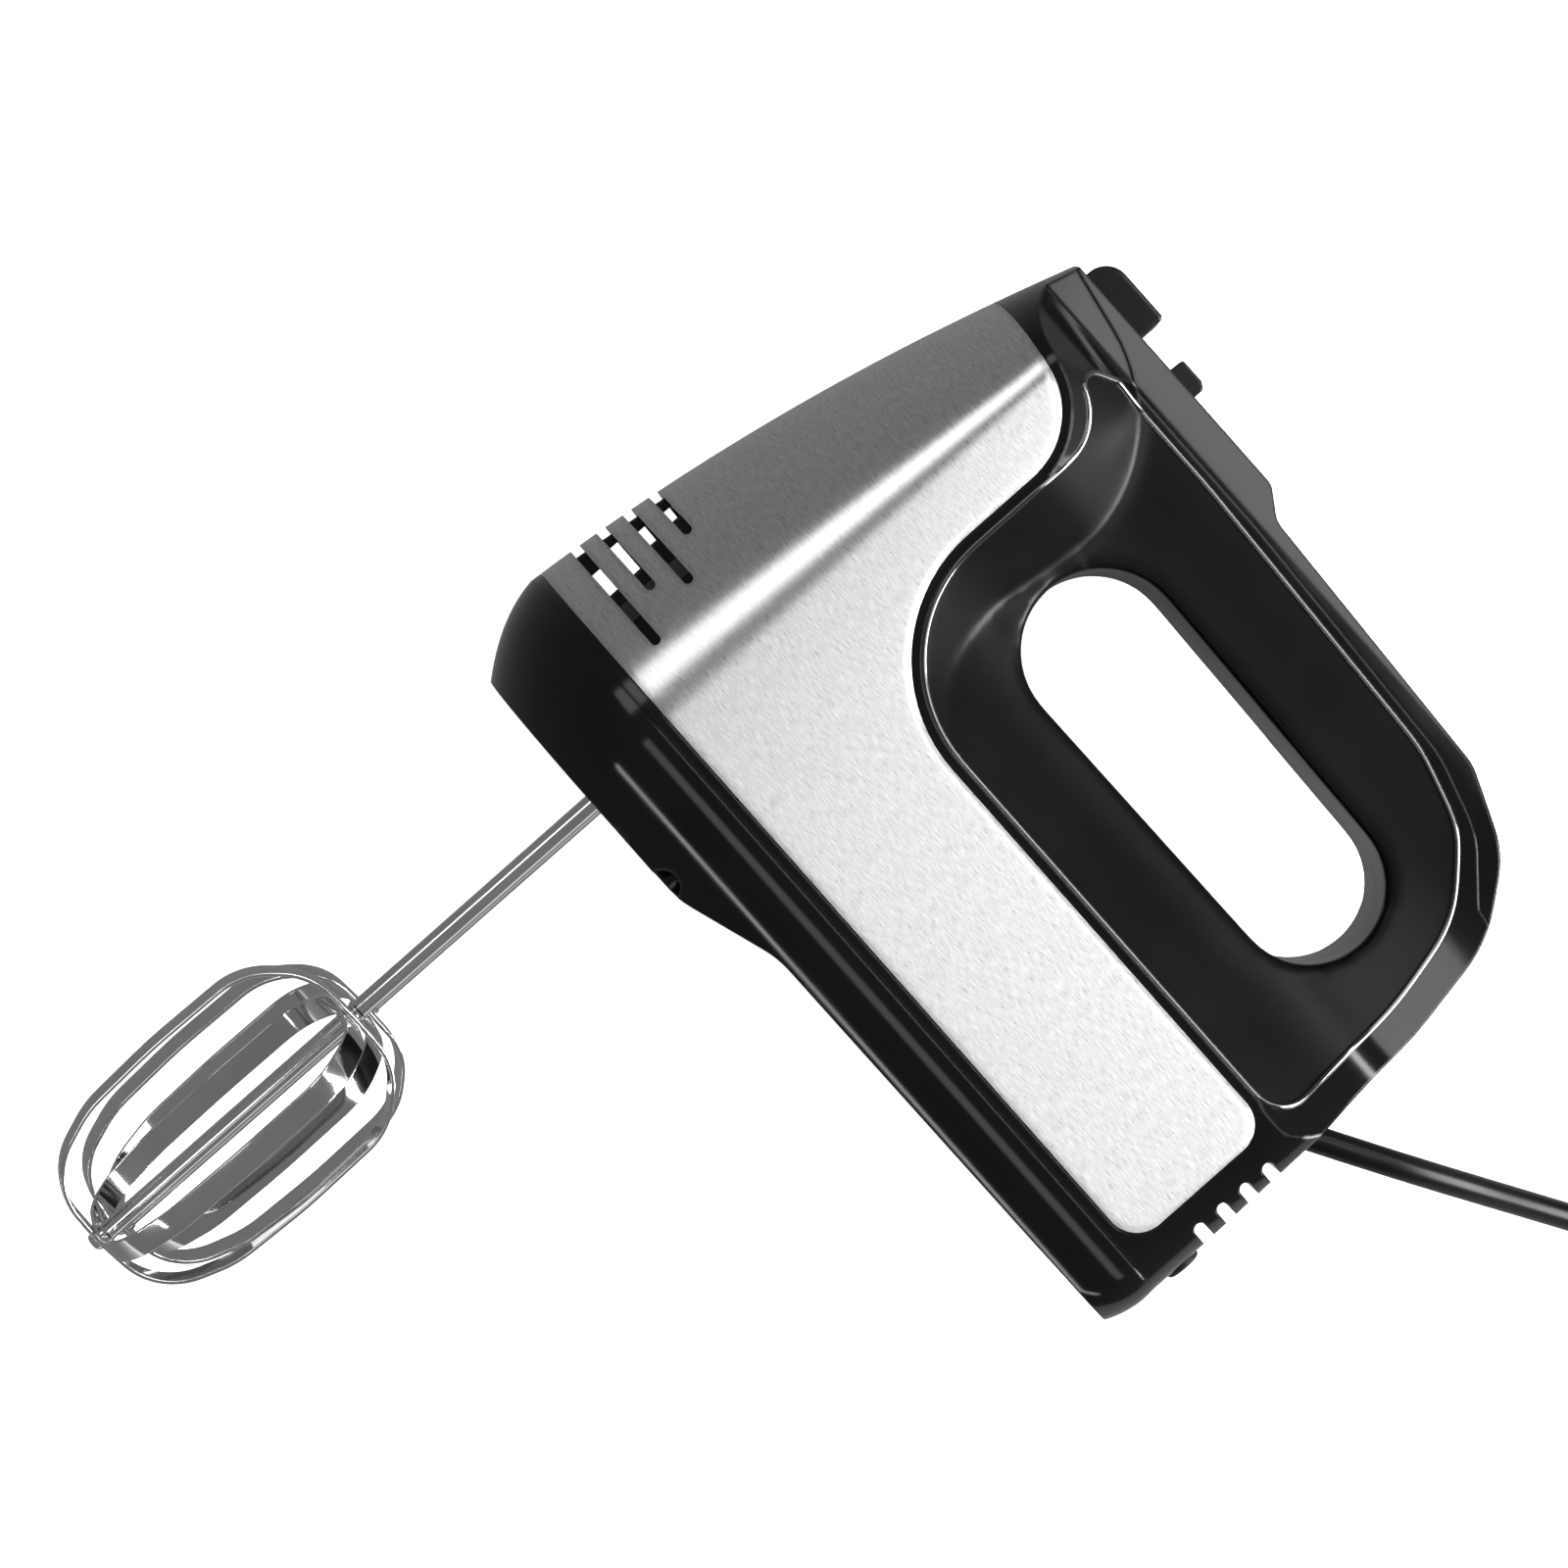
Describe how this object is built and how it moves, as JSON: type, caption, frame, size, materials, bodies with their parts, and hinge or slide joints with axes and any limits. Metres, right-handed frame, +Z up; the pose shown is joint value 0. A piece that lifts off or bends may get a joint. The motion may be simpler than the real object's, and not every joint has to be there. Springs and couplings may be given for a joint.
{
  "type": "hand mixer",
  "caption": "Corded electric hand mixer lying on its side, with a loop handle, steel shroud, ejectable wire beaters, eject and turbo buttons, a speed slider and a coiled lead.",
  "frame": {"origin": "middle of the mixer's own box on the surface that its left side lies on, without the lead", "axes": "+X along the beaters towards the handle, +Y towards the nose, +Z up from the side it lies on"},
  "size_m": [0.3509, 0.3146, 0.086],
  "materials": {
    "steel": "brushed from nose to heel",
    "gloss_black": "polished moulding",
    "satin_black": "spark-eroded texture",
    "pan_black": "satin moulding with a gloss band",
    "polished_steel": "polished",
    "black_rubber": "smooth",
    "lead_black": "smooth",
    "brass_pins": "bright",
    "dark_steel": "plain",
    "copper": "enamelled wire",
    "carbon": "pressed",
    "nylon": "moulded",
    "grey_nylon": "moulded, glass filled",
    "bronze": "sintered",
    "spring_steel": "plain",
    "board": "lacquered"
  },
  "bodies": {
    "housing": {"steel_shroud": "steel", "housing_right": "gloss_black", "housing_left": "gloss_black", "grip_skin_right": "satin_black", "grip_skin_left": "satin_black", "control_cover": "gloss_black", "lower_housing": "pan_black", "housing_screws": "dark_steel", "heel_feet": "black_rubber", "eject_spring": "spring_steel", "plunger_guide": "grey_nylon", "speed_switch": "grey_nylon", "turbo_switch": "grey_nylon", "turbo_spring": "spring_steel", "control_board": "board", "motor_stator": "dark_steel", "field_coils": "copper", "motor_end_bracket": "grey_nylon", "motor_rear_bearing": "bronze", "motor_front_bearing": "bronze", "worm_end_bearing": "bronze", "brush_holders": "bronze", "carbon_brushes": "carbon", "gearbox_frame": "grey_nylon", "spindle_bushes": "bronze", "cord_strain_relief": "black_rubber", "cord_clamp": "grey_nylon", "cord": "lead_black", "cord_coil": "lead_black", "cord_tail": "lead_black", "plug_body": "lead_black", "plug_pins": "brass_pins"},
    "rotor": {"motor_shaft": "dark_steel", "rotor_core": "dark_steel", "rotor_windings": "copper", "commutator": "copper", "cooling_fan": "nylon"},
    "spindle_a": {"spindle_a": "dark_steel", "worm_wheel_a": "nylon"},
    "spindle_b": {"spindle_b": "dark_steel", "worm_wheel_b": "nylon"},
    "push_pin_a": {"push_pin_a": "dark_steel"},
    "push_pin_b": {"push_pin_b": "dark_steel"},
    "beater_a": {"beater_stem_a": "polished_steel", "outer_hoop_a": "polished_steel", "inner_hoop_a": "polished_steel"},
    "beater_b": {"beater_stem_b": "polished_steel", "outer_hoop_b": "polished_steel", "inner_hoop_b": "polished_steel"},
    "eject": {"eject_button": "gloss_black", "eject_fork": "nylon"},
    "speed_knob": {"speed_slider": "satin_black"},
    "turbo": {"turbo_button": "satin_black"}
  },
  "joints": [
    {"name": "rotor_spin", "type": "hinge", "parent": "housing", "child": "rotor", "pos_m": [0.0355, -0.00005, 0.043], "axis": [0, 1, 0], "continuous": true},
    {"name": "spindle_a_spin", "type": "hinge", "parent": "housing", "child": "spindle_a", "pos_m": [0.0355, 0.05445, 0.0605], "axis": [1, 0, 0], "continuous": true},
    {"name": "spindle_b_spin", "type": "hinge", "parent": "housing", "child": "spindle_b", "pos_m": [0.0355, 0.05445, 0.0255], "axis": [1, 0, 0], "continuous": true},
    {"name": "eject_press", "type": "slide", "parent": "housing", "child": "eject", "axis": [-1, 0, 0], "range_m": [0, 0.006], "stiffness_N_per_m": 400, "springref_m": -0.01, "deforming": ["eject_spring"]},
    {"name": "push_pin_a_slide", "type": "slide", "parent": "spindle_a", "child": "push_pin_a", "axis": [-1, 0, 0], "range_m": [0, 0.006]},
    {"name": "push_pin_b_slide", "type": "slide", "parent": "spindle_b", "child": "push_pin_b", "axis": [-1, 0, 0], "range_m": [0, 0.006]},
    {"name": "beater_a_pull", "type": "slide", "parent": "push_pin_a", "child": "beater_a", "axis": [-1, 0, 0], "range_m": [0, 0.04]},
    {"name": "beater_b_pull", "type": "slide", "parent": "push_pin_b", "child": "beater_b", "axis": [-1, 0, 0], "range_m": [0, 0.04]},
    {"name": "speed_slide", "type": "slide", "parent": "housing", "child": "speed_knob", "axis": [0, 1, 0], "range_m": [-0.0045, 0.0065]},
    {"name": "turbo_press", "type": "slide", "parent": "housing", "child": "turbo", "axis": [-1, 0, 0], "range_m": [0, 0.0015], "stiffness_N_per_m": 800, "springref_m": -0.002, "deforming": ["turbo_spring"]}
  ],
  "couplings": [
    {"joint": "spindle_a_spin", "follows": "rotor_spin", "ratio": -0.083333},
    {"joint": "spindle_b_spin", "follows": "rotor_spin", "ratio": 0.083333},
    {"joint": "push_pin_a_slide", "follows": "eject_press", "ratio": 1},
    {"joint": "push_pin_b_slide", "follows": "eject_press", "ratio": 1}
  ]
}
